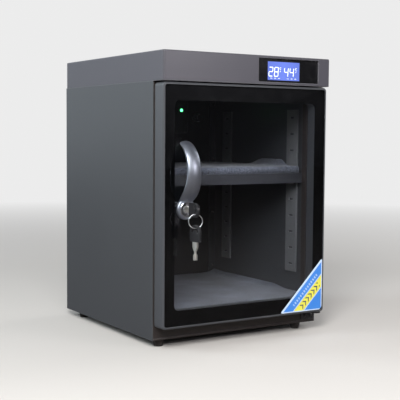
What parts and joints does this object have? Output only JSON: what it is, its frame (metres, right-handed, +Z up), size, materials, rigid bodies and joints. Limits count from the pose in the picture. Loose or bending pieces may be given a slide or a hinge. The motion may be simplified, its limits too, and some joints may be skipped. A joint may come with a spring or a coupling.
{
  "type": "camera dry cabinet",
  "caption": "Upright cabinet with a hinged glass door, arched handle with cam lock and hanging keys, lit humidity display, slotted shelf standards, a padded shelf and a padded floor.",
  "frame": {"origin": "centre of the bounding box on the plane that the feet stand on", "axes": "+Z up, -Y to the front where the door and its keys are, +X to the right seen from the front, the side of the hinge"},
  "size_m": [0.28, 0.3657, 0.4],
  "materials": {
    "side_paint": "fine satin powder coat, cool grey",
    "back_paint": "satin powder coat, dark grey",
    "inner_paint": "satin dark grey",
    "cap_paint": "satin powder coat, purplish grey",
    "display_black": "gloss black",
    "lcd_glass": "back-lit blue screen with white digits",
    "circuit_board": "green board with parts",
    "hinge_steel": "plain steel",
    "hinge_dark": "dark satin paint",
    "zinc": "zinc plated",
    "standard_paint": "satin grey",
    "foam": "soft grey foam with a fine egg-crate face",
    "black_plastic": "fine textured black",
    "led_lens": "lit green lens",
    "control_can": "grey moulded body",
    "fin_aluminium": "plain extruded aluminium",
    "cell_ceramic": "white ceramic",
    "dark_screw": "dark plated",
    "sensor_plastic": "off-white",
    "foot_rubber": "matt dark brown rubber",
    "door_paint": "satin powder coat, grey",
    "liner_paint": "satin dark grey",
    "door_glass": "clear, polished",
    "border_film": "black print behind the glass",
    "gasket_rubber": "soft black rubber",
    "bush_plastic": "white acetal",
    "handle_chrome": "satin chrome",
    "label_film": "printed film, blue with a yellow band",
    "lock_chrome": "bright chrome",
    "key_metal": "nickel plated",
    "key_plastic": "black moulded",
    "ring_steel": "bright nickel",
    "shelf_paint": "satin dark grey",
    "knob_plastic": "fine textured black"
  },
  "bodies": {
    "cabinet": {"left_side_panel": "side_paint", "right_side_panel": "side_paint", "back_panel": "back_paint", "bottom_pan": "back_paint", "inner_floor": "inner_paint", "front_frame": "inner_paint", "ceiling_pan": "inner_paint", "top_cap": "cap_paint", "display_panel": "display_black", "lcd_screen": "lcd_glass", "display_board": "circuit_board", "control_board": "circuit_board", "upper_hinge_bracket": "hinge_steel", "lower_hinge_bracket": "hinge_dark", "hinge_screws": "zinc", "left_front_standard": "standard_paint", "left_rear_standard": "standard_paint", "right_front_standard": "standard_paint", "right_rear_standard": "standard_paint", "shelf_clips": "zinc", "floor_mat": "foam", "dryer_cover": "black_plastic", "dryer_led": "led_lens", "humidity_control": "control_can", "cold_plate": "fin_aluminium", "cooling_cell": "cell_ceramic", "heat_sink": "fin_aluminium", "vent_cover": "black_plastic", "vent_cover_screws": "dark_screw", "humidity_sensor": "sensor_plastic", "power_jack": "black_plastic", "jack_nut": "zinc", "feet": "foot_rubber", "foot_screws": "zinc", "back_panel_screws": "dark_screw", "cap_screws": "dark_screw"},
    "door": {"door_frame": "door_paint", "door_liner": "liner_paint", "door_glass": "door_glass", "glass_border": "border_film", "door_gasket": "gasket_rubber", "hinge_bushes": "bush_plastic", "door_handle": "handle_chrome", "handle_screw": "zinc", "door_label": "label_film", "lock_barrel": "lock_chrome", "lock_nut": "zinc"},
    "lock": {"lock_plug": "lock_chrome", "lock_cam": "zinc", "cam_nut": "zinc"},
    "key": {"key_blade": "key_metal", "key_head": "key_plastic"},
    "ring": {"key_ring": "ring_steel"},
    "spare_key": {"spare_key_blade": "key_metal", "spare_key_head": "key_plastic"},
    "shelf": {"shelf_tray": "shelf_paint", "shelf_mat": "foam"},
    "knob": {"humidity_knob": "knob_plastic"}
  },
  "joints": [
    {"name": "door_hinge", "type": "hinge", "parent": "cabinet", "child": "door", "pos_m": [0.129, -0.13684, 0.0294], "axis": [0, 0, 1], "range_deg": [0, 110]},
    {"name": "lock_turn", "type": "hinge", "parent": "door", "child": "lock", "pos_m": [-0.1055, -0.15351, 0.1899], "axis": [0, 1, 0], "range_deg": [0, 90]},
    {"name": "key_slide", "type": "slide", "parent": "lock", "child": "key", "axis": [0, -1, 0], "range_m": [0, 0.02]},
    {"name": "ring_swing", "type": "hinge", "parent": "key", "child": "ring", "pos_m": [-0.1055, -0.17401, 0.185], "axis": [-0.9397, 0.342, 0], "range_deg": [-12, 60]},
    {"name": "spare_key_swing", "type": "hinge", "parent": "ring", "child": "spare_key", "pos_m": [-0.1055, -0.17401, 0.1664], "axis": [-0.9397, 0.342, 0], "range_deg": [-12, 45]},
    {"name": "shelf_slide", "type": "slide", "parent": "cabinet", "child": "shelf", "axis": [0, -1, 0], "range_m": [0, 0.02]},
    {"name": "humidity_knob_turn", "type": "hinge", "parent": "cabinet", "child": "knob", "pos_m": [-0.04, 0.11881, 0.3178], "axis": [0, 1, 0], "range_deg": [-135, 135]}
  ]
}
